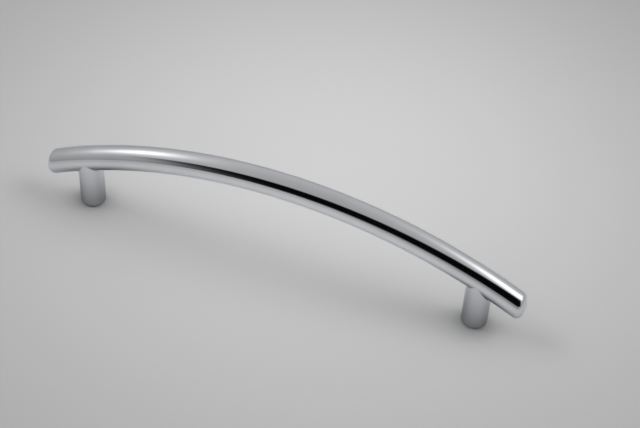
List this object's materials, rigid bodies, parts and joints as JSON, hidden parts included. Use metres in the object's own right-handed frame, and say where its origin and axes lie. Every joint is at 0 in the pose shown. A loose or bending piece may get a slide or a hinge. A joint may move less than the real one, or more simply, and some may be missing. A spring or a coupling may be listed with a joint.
{
  "type": "bridge pull handle",
  "caption": "Bowed bridge pull handle: a round bar and its round posts cast as one and chrome plated, tapped from the feet for fixing screws.",
  "frame": {"origin": "on the door face, midway between the two posts", "axes": "+X along the handle, from post to post; +Z out of the door face, towards the top of the bow; +Y across the bar"},
  "size_m": [0.1569, 0.008, 0.034],
  "materials": {
    "chrome_plate": "polished"
  },
  "bodies": {
    "root": {"handle": "chrome_plate"}
  },
  "joints": []
}
